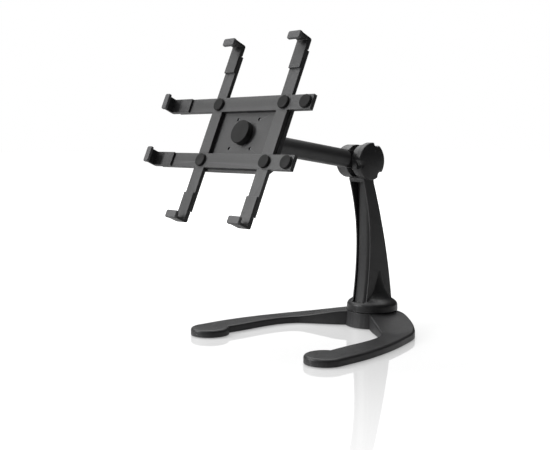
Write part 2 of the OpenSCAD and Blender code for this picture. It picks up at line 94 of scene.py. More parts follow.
def grained(name, colour, worn, grain, bump, rough, ior, wear=0.5):
    """A moulded surface: grain of one size in mm raised by bump mm, roughness that wanders
    between two values, fine mottling of the colour, and edges that lighten to worn."""
    mat, tree, bsdf = new_material(name, {"IOR": ior, "Specular IOR Level": 0.4})
    place = add_node(tree, "TexCoord").outputs["Object"]
    fine = add_node(tree, "TexNoise", inputs={
        "Vector": place, "Scale": 1 / (grain * MM), "Detail": 3.0, "Roughness": 0.6})
    cloud = add_node(tree, "TexNoise", inputs={
        "Vector": place, "Scale": 1 / (22 * MM), "Detail": 2.0})
    patch = add_node(tree, "MapRange", inputs={
        "Value": cloud.outputs["Fac"], "From Min": 0.3, "From Max": 0.7,
        "To Min": rough[0], "To Max": rough[1]})
    speck = add_node(tree, "MapRange", inputs={
        "Value": fine.outputs["Fac"], "From Min": 0.35, "From Max": 0.65,
        "To Min": -0.05, "To Max": 0.05})
    mixed = add_node(tree, "Math", {"operation": "ADD"}, {
        0: patch.outputs["Result"], 1: speck.outputs["Result"]})
    tree.links.new(mixed.outputs[0], bsdf.inputs["Roughness"])
    edge = add_node(tree, "NewGeometry").outputs["Pointiness"]
    rub = add_node(tree, "MapRange", inputs={
        "Value": edge, "From Min": 0.51, "From Max": 0.60, "To Min": 0.0, "To Max": wear})
    tint = add_node(tree, "MapRange", inputs={
        "Value": fine.outputs["Fac"], "From Min": 0.3, "From Max": 0.7,
        "To Min": 0.0, "To Max": 0.22})
    share = add_node(tree, "Math", {"operation": "ADD", "use_clamp": True}, {
        0: rub.outputs["Result"], 1: tint.outputs["Result"]})
    shade = add_node(tree, "MixRGB", inputs={
        "Fac": share.outputs[0], "Color1": colour, "Color2": worn})
    tree.links.new(shade.outputs["Color"], bsdf.inputs["Base Color"])
    # Softens the edges that the mesh leaves sharp, in the render only
    softer = add_node(tree, "Bevel", {"samples": 4}, {"Radius": EDGE_SOFTENING * MM})
    relief = add_node(tree, "Bump", inputs={
        "Strength": 1.0, "Distance": bump * MM, "Height": fine.outputs["Fac"],
        "Normal": softer.outputs["Normal"]})
    tree.links.new(relief.outputs["Normal"], bsdf.inputs["Normal"])
    return mat


def metal(name, colour, dark, rough, streak):
    """A metal with fine lines drawn out along X, and roughness that follows them."""
    mat, tree, bsdf = new_material(name, {"Metallic": 1.0})
    place = add_node(tree, "TexCoord").outputs["Object"]
    long = add_node(tree, "Mapping", inputs={
        "Vector": place,
        "Scale": (1 / (streak * 12 * MM), 1 / (streak * MM), 1 / (streak * MM))})
    lines = add_node(tree, "TexNoise", inputs={
        "Vector": long.outputs["Vector"], "Scale": 1.0, "Detail": 3.0})
    wander = add_node(tree, "MapRange", inputs={
        "Value": lines.outputs["Fac"], "From Min": 0.3, "From Max": 0.7,
        "To Min": rough[0], "To Max": rough[1]})
    tree.links.new(wander.outputs["Result"], bsdf.inputs["Roughness"])
    shade = add_node(tree, "MixRGB", inputs={
        "Fac": lines.outputs["Fac"], "Color1": colour, "Color2": dark})
    tree.links.new(shade.outputs["Color"], bsdf.inputs["Base Color"])
    relief = add_node(tree, "Bump", inputs={
        "Strength": 0.6, "Distance": 0.01 * MM, "Height": lines.outputs["Fac"]})
    tree.links.new(relief.outputs["Normal"], bsdf.inputs["Normal"])
    return mat


# ---- Curves and surfaces, in mm -----------------------------------------------------

def spline(points, n):
    """Catmull-Rom curve through every guide point, with n steps to each interval."""
    p = np.asarray(points, float)
    e = np.vstack([p[:1], p, p[-1:]])
    a, b, c, d = e[:-3], e[1:-2], e[2:-1], e[3:]
    t = np.linspace(0, 1, n, endpoint=False)[:, None, None]
    q = 0.5 * (2 * b + (c - a) * t + (2 * a - 5 * b + 4 * c - d) * t ** 2
               + (3 * b - a - 3 * c + d) * t ** 3)
    return np.vstack([q.transpose(1, 0, 2).reshape(-1, p.shape[1]), p[-1:]])


def rounded(points, radii, n=7):
    """A polygon with each corner replaced by a curve between points a radius away from it
    on its two sides: (1-s)^2 A + 2 s (1-s) corner + s^2 B."""
    p = np.asarray(points, float)
    r = np.broadcast_to(np.asarray(radii, float), len(p))[:, None]
    before, after = np.roll(p, 1, 0) - p, np.roll(p, -1, 0) - p
    a = p + r * before / np.linalg.norm(before, axis=1)[:, None]
    b = p + r * after / np.linalg.norm(after, axis=1)[:, None]
    s = np.linspace(0, 1, n)[None, :, None]
    q = (1 - s) ** 2 * a[:, None] + 2 * s * (1 - s) * p[:, None] + s ** 2 * b[:, None]
    return q.reshape(-1, 2)


def circle(r, n=96, centre=(0, 0)):
    """Points round a circle, anticlockwise."""
    t = np.linspace(0, 2 * np.pi, n, endpoint=False)
    return np.c_[centre[0] + r * np.cos(t), centre[1] + r * np.sin(t)]


def rims(z0, z1, r0, r1, n=6):
    """Levels of a slab with rounded rims, as (height, inset): a quarter circle of radius r0
    up from the bottom and one of radius r1 at the top."""
    a = np.linspace(0, np.pi / 2, n)
    low = np.c_[z0 + r0 * (1 - np.cos(a)), r0 * (1 - np.sin(a))]
    high = np.c_[z1 - r1 * (1 - np.cos(a)), r1 * (1 - np.sin(a))][::-1]
    return np.vstack([low if r0 else low[:1], high if r1 else high[-1:]])


def slab(outline, levels):
    """Rings of a flat body: the outline, moved inwards along its own normals by each
    level's inset and lifted to its height."""
    along = np.roll(outline, -1, 0) - np.roll(outline, 1, 0)
    along /= np.linalg.norm(along, axis=1)[:, None] + 1e-12
    inward = np.c_[-along[:, 1], along[:, 0]]
    flat = outline[None] + levels[:, 1, None, None] * inward[None]
    height = np.broadcast_to(levels[:, 0, None, None], flat.shape[:2] + (1,))
    return np.concatenate([flat, height], 2)


def lathe(profile, n=96):
    """Rings of a turned body: each profile point (radius, height) swept round Z."""
    p = np.asarray(profile, float)
    t = np.linspace(0, 2 * np.pi, n, endpoint=False)[None]
    r, z = p[:, :1], p[:, 1:]
    return np.stack([r * np.cos(t), r * np.sin(t), z + 0 * t], 2)


def placed(rings, x, y, z, origin=(0, 0, 0)):
    """Rings with their three axes laid along the directions x, y and z, about an origin."""
    return rings @ np.array([x, y, z], float) + np.array(origin, float)


def skin(rings):
    """A closed mesh over rings of equal length: four-sided faces between neighbouring
    rings, one face over each end, poles merged, and faces turned outwards."""
    m, n = rings.shape[:2]
    i, j = np.arange(m - 1)[:, None] * n, np.arange(n)[None]
    a, b = i + j, i + (j + 1) % n
    sides = np.stack([a, b, b + n, a + n], 2).reshape(-1, 4).tolist()
    ends = [list(range(n))[::-1], list(range((m - 1) * n, m * n))]
    mesh = bpy.data.meshes.new("skin")
    mesh.from_pydata((rings.reshape(-1, 3) * MM).tolist(), [], sides + ends)
    return tidy(mesh)


def tidy(mesh, flat=0.0):
    """Merges doubled points, joins faces that lie within an angle of flat, and turns the
    faces outwards."""
    bm = bmesh.new()
    bm.from_mesh(mesh)
    bmesh.ops.remove_doubles(bm, verts=bm.verts, dist=1e-6)
    bmesh.ops.dissolve_degenerate(bm, edges=bm.edges, dist=1e-7)
    if flat:
        bmesh.ops.dissolve_limit(bm, angle_limit=flat, verts=bm.verts, edges=bm.edges)
    bmesh.ops.recalc_face_normals(bm, faces=bm.faces)
    bm.to_mesh(mesh)
    bm.free()
    return mesh


def shaped(mesh, tools, operation):
    """The mesh joined with (UNION) or cut by (DIFFERENCE) closed tool meshes."""
    body = bpy.data.objects.new("work", mesh)
    helpers = [bpy.data.objects.new("tool", t) for t in tools]
    for o in [body, *helpers]:
        bpy.context.scene.collection.objects.link(o)
    for tool in helpers:
        mod = body.modifiers.new("shape", "BOOLEAN")
        mod.operation, mod.solver, mod.object = operation, "EXACT", tool
    graph = bpy.context.evaluated_depsgraph_get()
    result = bpy.data.meshes.new_from_object(body.evaluated_get(graph))
    for o in [body, *helpers]:
        bpy.data.objects.remove(o)
    return result


def piece(name, mesh, body, nodes, material, sharp=32):
    """Makes a named piece of a mesh: smooth faces with sharp edges above an angle, flat
    faces kept flat by their area, riding on its CAD body in place of its CAD nodes."""
    if not mesh.polygons:
        raise RuntimeError(f"{name} has no faces")
    mesh.name = name
    obj = bpy.data.objects.new(name, mesh)
    bpy.context.scene.collection.objects.link(obj)
    mesh.shade_smooth()
    mesh.set_sharp_from_angle(angle=math.radians(sharp))
    mesh.materials.clear()
    mesh.materials.append(material)
    weighted = obj.modifiers.new("flat faces", "WEIGHTED_NORMAL")
    weighted.keep_sharp = True
    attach(obj, body)
    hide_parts(*nodes)
    return obj


def softened(node, name, body, material, width, segments=3):
    """A copy of a CAD node's mesh with its doubled points merged, its flat faces joined and
    its sharp edges rounded."""
    mesh = tidy(frame["nodes"][node].data.copy(), flat=math.radians(1.5))
    obj = piece(name, mesh, body, [node], material)
    bevel = obj.modifiers.new("edges", "BEVEL")
    bevel.width = width * MM
    bevel.segments = segments
    bevel.limit_method = "ANGLE"
    bevel.angle_limit = math.radians(38)
    obj.modifiers.move(len(obj.modifiers) - 1, 0)
    return obj


# ---- Frames -------------------------------------------------------------------------

def sizes():
    """The stand's sizes in this scene."""
    return bpy.context.scene.stand_sizes


def finish_of(slot):
    """The material made for one of the record's slots."""
    found = bpy.data.materials.get(FINISH_NAMES[slot])
    if found is None:
        raise RuntimeError(f"make the finishes before the pieces: {slot} is missing")
    return found


PIVOT = np.array([0, -25, 188.0])
ARM_SLOPE = math.radians(8)
BALL_REACH = 154
TILT = math.radians(90 - 24.2)
BALL_BACK = 25
ALONG_ARM = np.array([0, -math.cos(ARM_SLOPE), math.sin(ARM_SLOPE)])
UP_ARM = np.array([0, math.sin(ARM_SLOPE), math.cos(ARM_SLOPE)])
OUT = np.array([0, -math.sin(TILT), math.cos(TILT)])
UP = np.array([0, math.cos(TILT), math.sin(TILT)])
BALL = PIVOT + BALL_REACH * ALONG_ARM
HOLDER = BALL + BALL_BACK * OUT


def on_axle(rings):
    """Turned rings laid along +X through the tilt pivot."""
    return placed(rings, (0, 1, 0), (0, 0, 1), (1, 0, 0), PIVOT)


# ---- Base ---------------------------------------------------------------------------

# Guides along one arm: outer edge x, y, inner edge x, y, and the share left there of the
# rise from the arm's top to the hub's top.
ARM_GUIDES = [
    (12, 24, 12, -20, 0.97), (31, 19, 26, -31.5, 0.86), (51, 6.3, 40, -41.5, 0.54),
    (68, -8.4, 53, -50.5, 0.23), (82, -26.6, 64, -60, 0.03), (93, -57, 72, -78, 0),
    (102, -92, 75, -100, 0), (107.5, -130, 75.5, -130, 0), (108, -169, 78, -169, 0)]
PADDLE = (87, -169)
FOOT = 1.0
COVER_TOP = 2.6
HOLLOW_TOP = 6.3
COVER_INSET = 2.4
WALL = 4
SCREW_STATIONS = (8, 20, 29)
CAD_STEPS = 4
INNER_RIM = 2.0
BOSS_RADIUS = 3.6
HUB_DRAFT = 1.5
PADDLE_LIFT = 0.06
STOP_GROOVE = (20.8, 24.2)
STOP_ARC = 108


def arm_skin(side, top, rim):
    """One arm: a section carried along the guides. Across a station it goes up the outer
    wall, round the rim on a quarter circle, over the flat top and down the inner wall."""
    s = spline(ARM_GUIDES, 18)
    outer, inner = s[:, 0:2], s[:, 2:4]
    width = np.linalg.norm(inner - outer, axis=1)
    across = (inner - outer) / width[:, None]
    high = top + s[:, 4] * (sizes().hub_top / MM - top)
    a = np.linspace(0, np.pi / 2, 9)
    run = np.r_[0, 1 - np.cos(a)]
    drop = np.r_[np.nan, 1 - np.sin(a)]
    along = np.concatenate([np.broadcast_to(rim * run, (len(s), len(run))),
                            (width[:, None] - INNER_RIM * run[::-1])], 1)
    fall = np.concatenate([rim * drop, INNER_RIM * drop[::-1]])
    z = np.where(np.isnan(fall), FOOT, high[:, None] - np.nan_to_num(fall))
    xy = outer[:, None] + across[:, None] * along[..., None]
    rings = np.concatenate([xy, z[..., None]], 2)
    rings[..., 0] *= side
    return skin(rings)


def arm_prism(side, inset, first, z0, z1):
    """The plan of one arm from a station on, drawn in from its edges, as a prism."""
    s = spline(ARM_GUIDES, CAD_STEPS)[first:]
    across = s[:, 2:4] - s[:, 0:2]
    across /= np.linalg.norm(across, axis=1)[:, None]
    plan = np.vstack([s[:, 0:2] + across * inset, (s[:, 2:4] - across * inset)[::-1]])
    plan[:, 0] *= side
    return skin(slab(plan, np.array([[z0, 0], [z1, 0]])))


def post(x, y, r, z0, z1, n=48):
    """A plain round post."""
    return skin(slab(circle(r, n, (x, y)), np.array([[z0, 0], [z1, 0]])))


def arm_hollow(side):
    """The recess for one arm's cover and the hollow above it, less the screw bosses."""
    px, py = PADDLE[0] * side, PADDLE[1]
    r = sizes().paddle_radius / MM
    s = spline(ARM_GUIDES, CAD_STEPS)[list(SCREW_STATIONS)]
    spots = (s[:, 0:2] + s[:, 2:4]) / 2 * (side, 1)
    bosses = [post(x, y, BOSS_RADIUS, COVER_TOP, HOLLOW_TOP + 1) for x, y in spots]
    hollow = shaped(arm_prism(side, WALL, 7, COVER_TOP - 0.5, HOLLOW_TOP),
                    [post(px, py, r - WALL, COVER_TOP - 0.5, HOLLOW_TOP)], "UNION")
    hollow = shaped(hollow, bosses, "DIFFERENCE")
    seat = shaped(arm_prism(side, COVER_INSET, 6, FOOT - 1, COVER_TOP),
                  [post(px, py, r - COVER_INSET, FOOT - 1, COVER_TOP)], "UNION")
    return [seat, hollow]


class STAND_OT_base(bpy.types.Operator):
    """Builds the U-shaped base: two arms, two round paddles and the hub"""

    bl_idname = "stand.base"
    bl_label = "Base"

    def execute(self, context):
        s = sizes()
        top, hub_top, hub_r = s.arm_top / MM, s.hub_top / MM, s.hub_radius / MM
        rim, r = s.arm_rounding / MM, s.paddle_radius / MM
        wall = slab_profile(hub_r, FOOT, hub_top, 0, 0.7)
        wall[0, 0] += HUB_DRAFT
        hub = skin(lathe(np.vstack([[[0, FOOT]], wall, [[0, hub_top]]]), 128))
        arms = [arm_skin(side, top, rim) for side in (1, -1)]
        # The paddles stand a hair above the arms, so that no two faces coincide
        high = top + PADDLE_LIFT
        turned = lathe(np.vstack([
            [[0, FOOT]], slab_profile(r, FOOT, high, 0, rim), [[0, high]]]), 128)
        paddles = [skin(turned + np.array([PADDLE[0] * side, PADDLE[1], 0]))
                   for side in (1, -1)]
        whole = shaped(hub, arms + paddles, "UNION")
        bay = skin(lathe([
            [0, 0], [24.5, 0], [24.5, COVER_TOP], [23, COVER_TOP], [23, 11], [15.05, 11],
            [15.05, hub_top - 0.9], [19.6, hub_top - 0.9], [19.6, hub_top + 2],
            [0, hub_top + 2]]))
        whole = shaped(whole, [bay, stop_groove(hub_top)] + arm_hollow(1) + arm_hollow(-1),
                       "DIFFERENCE")
        piece("base_body", whole, "base", ["base_shell"], finish_of("abs_black"))
        return {"FINISHED"}


def slab_profile(r, z0, z1, r0, r1):
    """Side of a turned disc, as (radius, height), with rounded rims."""
    levels = rims(z0, z1, r0, r1, 9)
    return np.c_[r - levels[:, 1], levels[:, 0]]


def stop_groove(hub_top):
    """The arc groove behind the column that stops its swivel."""
    t = np.radians(np.linspace(90 - STOP_ARC / 2, 90 + STOP_ARC / 2, 49))
    near, far = STOP_GROOVE
    outline = np.vstack([np.c_[far * np.cos(t), far * np.sin(t)],
                         np.c_[near * np.cos(t), near * np.sin(t)][::-1]])
    return skin(slab(outline, np.array([[hub_top - 1.6, 0], [hub_top + 1, 0]])))


# ---- Column -------------------------------------------------------------------------

WAIST = 92
LEDGE = 165.3
LEDGE_TOP = 169
PLATE = 1.8
COVER_GAP = 0.3
SLOT_WIDTH = 8.2
SLOT_RADIUS = 12.3
BOLT_HOLE = 4.05
CAP_REACH = 20.8
CAP_ROUNDING = 4.2


def bowed(z, at_waist, below, above):
    """An edge that leaves a plumb line by the square of its distance from the waist."""
    return at_waist - np.where(z > WAIST, above, below) * (z - WAIST) ** 2


def plate_front(z):
    """Front edge of the column's side plates at a height."""
    return bowed(z, -16.75, 0.0014, 0.00229)


def nose_front(z):
    """Front of the cover between the plates at a height."""
    return bowed(z, -16.95, 0.0014, 0.00066)


def column_back(z):
    """Back edge of the column at a height."""
    return 21.1 - 0.14 * (z - 32) - 0.00088 * (z - 32) ** 2


def across_x(outline, width, rim=0.0):
    """A profile in Y and Z carried across X, with rounded rims at both faces."""
    rings = slab(outline, rims(-width / 2, width / 2, rim, rim, 5))
    return skin(placed(rings, (0, 1, 0), (0, 0, 1), (1, 0, 0)))


def disc_x(r, x0, x1, rim0=0.0, rim1=0.0, n=96):
    """A disc turned about the tilt pivot's axis."""
    p = np.vstack([[[0, x0]], slab_profile(r, x0, x1, rim0, rim1), [[0, x1]]])
    return skin(on_axle(lathe(p, n)))


class STAND_OT_column(bpy.types.Operator):
    """Builds the column: bell foot, swept side plates and the cheeks of the pivot"""

    bl_idname = "stand.column"
    bl_label = "Column"

    def execute(self, context):
        s = sizes()
        width, barrel = s.column_width / MM, s.barrel_radius / MM
        z0 = s.hub_top / MM + 0.6
        flare = spline([(29, z0 + 0.6), (28.8, 24.6), (28.2, 27), (26.2, 29.4), (21, 33.2),
                        (16.6, 39.5), (13.7, 48), (12, 56.5), (11, 64.5), (10.2, 68)], 10)
        bell = skin(lathe(np.vstack([[[0, z0], [28.4, z0], [28.8, z0 + 0.2]], flare,
                                     [[0, 68]]]), 128))
        spigot = skin(lathe([[0, 10.2], [15, 10.2], [15, z0 + 1], [0, z0 + 1]]))
        z = np.linspace(20, 165, 60)
        top = np.linspace(165, LEDGE_TOP, 4)
        back = np.linspace(164, 20, 60)
        side = np.vstack([np.c_[column_back(back[::-1]), back[::-1]],
                          [[-15, 176], [-26, 176]],
                          np.c_[plate_front(top[::-1]), top[::-1]],
                          np.c_[plate_front(z[:-1][::-1]), z[:-1][::-1]]])
        blade = across_x(side, width, 0.7)
        cheek = disc_x(barrel, -width / 2, width / 2, 0.0, 0.9, 128)
        lug = skin(slab(rounded([(-2, 21), (2, 21), (2, 24), (-2, 24)], 0.3),
                        np.array([[s.hub_top / MM - 1.2, 0], [z0 + 0.5, 0]])))
        whole = shaped(bell, [spigot, blade, cheek, lug], "UNION")
        inside = width - 2 * PLATE
        zc = np.linspace(29, LEDGE, 60)
        channel = np.vstack([[[-60, LEDGE], [-60, 29]],
                             np.c_[nose_front(zc) + 3.7, zc]])
        zh = np.linspace(40, 120, 30)
        core = np.vstack([np.c_[nose_front(zh) + 2.6, zh][::-1],
                          np.c_[column_back(zh) - 3, zh]])
        swing = PIVOT[1:] + np.array([
            [6.1, -8.1], [SLOT_RADIUS, 0], [SLOT_RADIUS, 30], [-30, 30], [-30, -19.9],
            [-9.5, -19.9]])
        cuts = [across_x(channel, inside), across_x(core, inside - 2),
                across_x(swing, SLOT_WIDTH),
                disc_x(SLOT_RADIUS, -SLOT_WIDTH / 2, SLOT_WIDTH / 2),
                disc_x(BOLT_HOLE, -20, 20, n=48),
                disc_x(7.6, -20, -7.3, n=6)]
        whole = shaped(whole, cuts, "DIFFERENCE")
        piece("column_body", whole, "column", ["column"], finish_of("abs_black"))
        return {"FINISHED"}


class STAND_OT_front(bpy.types.Operator):
    """Builds the pillow-edged cover between the column's side plates"""

    bl_idname = "stand.front"
    bl_label = "Column front"

    def execute(self, context):
        half = sizes().column_width / MM / 2 - PLATE - COVER_GAP
        rx, ry, thick = 6, 3.4, 3.6
        z = np.linspace(25.5, LEDGE - 0.2, 110)
        y = nose_front(z)
        a = np.linspace(0, np.pi / 2, 10)
        curve_x, curve_y = rx * (1 - np.cos(a)), ry * (1 - np.sin(a))
        x = np.r_[-half, -half + curve_x, (half - curve_x)[::-1], half]
        back = np.r_[thick, curve_y, curve_y[::-1], thick]
        rings = np.empty((len(z), len(x), 3))
        rings[..., 0], rings[..., 1] = x, y[:, None] + back
        rings[..., 2] = z[:, None]
        piece("column_cover", skin(rings), "column", ["column_front"],
              finish_of("abs_black"), sharp=50)
        return {"FINISHED"}


class STAND_OT_barrel_cap(bpy.types.Operator):
    """Builds the rounded far end of the pivot barrel"""

    bl_idname = "stand.barrel_cap"
    bl_label = "Barrel cap"

    def execute(self, context):
        s = sizes()
        r, inner, outer = s.barrel_radius / MM, s.column_width / MM / 2, CAP_REACH
        p = np.vstack([[[0, inner], [r, inner]],
                       slab_profile(r, inner, outer, 0, CAP_ROUNDING)[1:], [[0, outer]]])
        rings = placed(lathe(p, 128), (0, 1, 0), (0, 0, -1), (-1, 0, 0), PIVOT)
        cap = shaped(skin(rings), [disc_x(9, -13.2, -10)], "DIFFERENCE")
        piece("barrel_cap", cap, "column", ["bolt_cap"], finish_of("abs_black"))
        return {"FINISHED"}


# ---- Knob ---------------------------------------------------------------------------

NOTCH_ANGLE = math.radians(190)
NOTCH_RADIUS = 5.5
NOTCH_OFFSET = 2.4
NOTCH_BLEND = 0.45


class STAND_OT_knob(bpy.types.Operator):
    """Builds the lobed clamp knob"""

    bl_idname = "stand.knob"
    bl_label = "Clamp knob"

    def execute(self, context):
        s = sizes()
        r, count = s.knob_radius / MM, s.knob_notches
        t = np.linspace(0, 2 * np.pi, 360, endpoint=False)
        step = 2 * np.pi / count
        off = (t - NOTCH_ANGLE + step / 2) % step - step / 2
        far, soft = r + NOTCH_OFFSET, NOTCH_BLEND
        inside = np.clip(NOTCH_RADIUS ** 2 - (far * np.sin(off)) ** 2, 0, None)
        notch = np.where(inside > 0, far * np.cos(off) - np.sqrt(inside), 99)
        # The rim follows the circle or the notch, whichever is nearer, with a soft corner
        rim = -soft * np.log(np.exp(-r / soft) + np.exp(-notch / soft))
        x_back, x_rim, x_top, edge = 11.6, 18.7, 20.8, 1.7
        a = np.linspace(0, np.pi / 2, 8)
        side_r = np.r_[0.7 * (1 - np.sin(a)), edge * (1 - np.sin(a[::-1]))]
        side_x = np.r_[x_back + 0.7 * (1 - np.cos(a)), x_rim + 0.3 - edge * (1 - np.cos(a[::-1]))]
        wall = rim[None] - side_r[:, None]
        face_share = np.linspace(1, 0, 14)[1:]
        face = (rim - edge)[None] * face_share[:, None]
        face_x = x_top - (x_top - x_rim - 0.3) * (face / (r - edge)) ** 2
        flat = 0 * rim[None]
        radius = np.vstack([flat, wall, face])
        x = np.vstack([x_back + flat, side_x[:, None] + flat, face_x])
        rings = np.stack([radius * np.cos(t), radius * np.sin(t), x], 2)
        piece("clamp_knob", skin(on_axle(rings)), "knob", ["knob"],
              finish_of("abs_black"), sharp=60)
        return {"FINISHED"}


# ---- Arm ----------------------------------------------------------------------------

TUBE_START = 25
TUBE_END = BALL_REACH - 26
TONGUE = 6.4


class STAND_OT_arm(bpy.types.Operator):
    """Builds the tube arm with the tongue that is clamped between the cheeks"""

    bl_idname = "stand.arm"
    bl_label = "Arm"

    def execute(self, context):
        r, start, end = sizes().tube_radius / MM, TUBE_START, TUBE_END
        tube = placed(lathe(np.vstack([[[0, start]], slab_profile(r, start, end, 0.8, 0.0),
                                       [[0, end]]]), 96),
                      (1, 0, 0), UP_ARM, ALONG_ARM, PIVOT)
        phi = np.linspace(np.pi / 2, 3 * np.pi / 2, 49)
        reach = start + 2
        outline = np.vstack([np.c_[11 * np.cos(phi), 11 * np.sin(phi)],
                             [[6, -9.4], [reach, -9.4], [reach, 9.4], [6, 9.4]]])
        tongue = placed(slab(outline, rims(-TONGUE / 2, TONGUE / 2, 0.4, 0.4, 4)),
                        ALONG_ARM, UP_ARM, (1, 0, 0), PIVOT)
        whole = shaped(skin(tube), [skin(tongue)], "UNION")
        whole = shaped(whole, [disc_x(BOLT_HOLE, -20, 20, n=48)], "DIFFERENCE")
        piece("arm_tube", whole, "arm", ["arm"], finish_of("abs_black"))
        return {"FINISHED"}


# ---- Holder -------------------------------------------------------------------------

EDGES = {
    "top_left": (-47, 1, "y"), "top_right": (47, 1, "y"), "bottom_left": (-47, -1, "y"),
    "bottom_right": (47, -1, "y"), "left_upper": (30, -1, "x"), "left_lower": (-30, -1, "x")}


def hook_reach():
    """Height of a clip's hook over the tablet's back."""
    return sizes().tablet_thickness / MM + 0.4


def at_edge(rings, where):
    """Rings in a clip's own frame (+Y out over the tablet's edge, Z out of the screen)
    moved to one of the six places."""
    along, side, axis = EDGES[where]
    s = sizes()
    if axis == "y":
        x = np.array([side, 0, 0.0])
        y = side * UP
        origin = HOLDER + np.array([along, 0, 0]) + side * s.tablet_height / MM / 2 * UP
    else:
        x, y = UP, np.array([-1.0, 0, 0])
        origin = HOLDER + np.array([-s.tablet_width / MM / 2, 0, 0]) + along * UP
    return placed(rings, x, y, OUT, origin)


class STAND_OT_clips(bpy.types.Operator):
    """Builds the six hook clips that wrap round the tablet's edges"""

    bl_idname = "stand.clips"
    bl_label = "Clips"

    def execute(self, context):
        over = hook_reach()
        outline = rounded(
            [(-28, -2.45), (-8.6, -2.45), (-8.6, -5), (3.2, -5), (3.2, over), (0.6, over),
             (0.6, -0.45), (-28, -0.45)], [0.5, 1.2, 1.0, 2.4, 0.5, 0.5, 0.7, 0.5])
        half = sizes().clip_width / MM / 2 - 1
        rings = slab(outline, rims(-half, half, 0.35, 0.35, 5))
        rings = rings[..., [2, 0, 1]]
        for where in EDGES:
            piece("hook_" + where, skin(at_edge(rings, where)), "holder",
                  ["clip_" + where], finish_of("abs_black"))
        return {"FINISHED"}


class STAND_OT_caps(bpy.types.Operator):
    """Builds the soft caps on the clips that hold the tablet's face"""

    bl_idname = "stand.caps"
    bl_label = "Clip caps"

    def execute(self, context):
        over = hook_reach()
        half = sizes().clip_width / MM / 2
        outline = rounded([(-half, -4.2), (half, -4.2), (half, 3.8), (-half, 3.8)], 2.4, 9)
        rings = slab(outline, rims(over, over + 3, 0.4, 1.1, 7))
        for where in EDGES:
            piece("pad_" + where, skin(at_edge(rings, where)), "holder",
                  ["cap_" + where], finish_of("cap_grey"), sharp=50)
        return {"FINISHED"}


SOFTENED = [
    # CAD node, piece, slot, edge radius in mm
    ("rail_left", "rail_bar_left", "abs_black", 0.7),
    ("rail_right", "rail_bar_right", "abs_black", 0.7),
    ("rail_upper", "rail_bar_upper", "abs_black", 0.7),
    ("rail_lower", "rail_bar_lower", "abs_black", 0.7),
    ("centre_plate", "back_plate", "abs_black", 0.6),
    ("ball_socket", "socket_body", "abs_black", 0.5),
    ("locking_ring", "lock_ring", "abs_black", 0.6),
    ("arm_end_plug", "tube_plug", "abs_black", 0.4),
    ("rest_pads", "rail_pads", "rubber", 0.4),
    ("centre_pad", "middle_pad", "rubber", 0.5),
    ("arm_feet", "base_feet", "rubber", 0.25),
    ("hub_foot", "middle_foot", "rubber", 0.25),
    ("arm_cover_left", "base_lid_left", "abs_black", 0.25),
    ("arm_cover_right", "base_lid_right", "abs_black", 0.25),
    ("hub_cover", "base_lid_hub", "abs_black", 0.25),
]


class STAND_OT_softened(bpy.types.Operator):
    """Rounds the edges of the rails, plate, socket, ring, pads, feet and lids"""

    bl_idname = "stand.softened"
    bl_label = "Rails, socket, pads and lids"

    def execute(self, context):
        owner = {n: b for b, ns in frame["record"]["behaviour"]["bodies"].items() for n in ns}
        for node, name, slot, width in SOFTENED:
            softened(node, name, owner[node], finish_of(slot), width)
        return {"FINISHED"}


class STAND_OT_hardware(bpy.types.Operator):
    """Gives the CAD parts that are kept, such as screws and the ball, their finishes"""

    bl_idname = "stand.hardware"
    bl_label = "Hardware"

    def execute(self, context):
        slots = {p["node"]: p["material_slot"] for p in frame["record"]["subparts"]}
        for node, obj in frame["nodes"].items():
            if not obj.hide_render:
                obj.data.materials.clear()
                obj.data.materials.append(finish_of(slots[node]))
        return {"FINISHED"}


# ---- Finishes -----------------------------------------------------------------------

FINISH_NAMES = {
    "abs_black": "ABS black moulded in a spark-eroded mould",
    "cap_grey": "Thermoplastic rubber grey satin moulded",
    "rubber": "Silicone rubber black die-cut",
    "steel": "Steel zinc-plated",
    "nylon": "Nylon natural moulded",
    "brass": "Brass turned",
}


class STAND_OT_finishes(bpy.types.Operator):
    """Makes the materials"""

    bl_idname = "stand.finishes"
    bl_label = "Finishes"

    def execute(self, context):
        c = context.scene.stand_colours
        names = FINISH_NAMES
        # ABS from a spark-eroded mould: an even fine grain that spreads highlights, dark
        # grey in the light. The real grain is about 0.2 mm; it is drawn at 0.9 mm to show.
        grained(names["abs_black"], c.abs_black, linear("#5a5a5b"), 0.9, 0.1,
                (0.36, 0.46), 1.54)
        # Thermoplastic rubber: a satin grey skin, softer in the light than the ABS.
        grained(names["cap_grey"], c.cap_grey, linear("#7a7a7b"), 0.7, 0.02,
                (0.48, 0.58), 1.50)
        # Silicone rubber sheet: dull, with a faint dusty grain.
        grained(names["rubber"], c.rubber, linear("#3a3a3a"), 0.8, 0.03, (0.72, 0.85), 1.41)
        # Natural nylon: waxy off-white.
        grained(names["nylon"], c.nylon, linear("#efece2"), 1.0, 0.01, (0.38, 0.46), 1.53)
        # Zinc plating: a bright bluish grey with drawn lines under it.
        metal(names["steel"], c.steel, linear("#86888b"), (0.24, 0.38), 0.25)
        # Turned brass: yellow, with tool lines.
        metal(names["brass"], c.brass, linear("#9c7c30"), (0.22, 0.34), 0.2)
        return {"FINISHED"}


# ---- Stage --------------------------------------------------------------------------

VIEW_AZIMUTH = math.radians(46.81)
VIEW_ELEVATION = math.radians(8.62)
VIEW_PLACE = (0.6619, -0.7745, 0.2128)
VIEW_LENS = 58.607
VIEW_SHIFT = 0.0892
FLOOR_HALF = 12.0


def softbox(name, place, target, size, power):
    """A soft rectangular light that looks at a target."""
    light = bpy.data.lights.new(name, "AREA")
    light.shape, light.size, light.size_y, light.energy = "RECTANGLE", *size, power
    obj = bpy.data.objects.new(name, light)
    obj.location = place
    obj.rotation_mode = "QUATERNION"
    obj.rotation_quaternion = (Vector(target) - Vector(place)).to_track_quat("-Z", "Y")
    bpy.context.scene.collection.objects.link(obj)


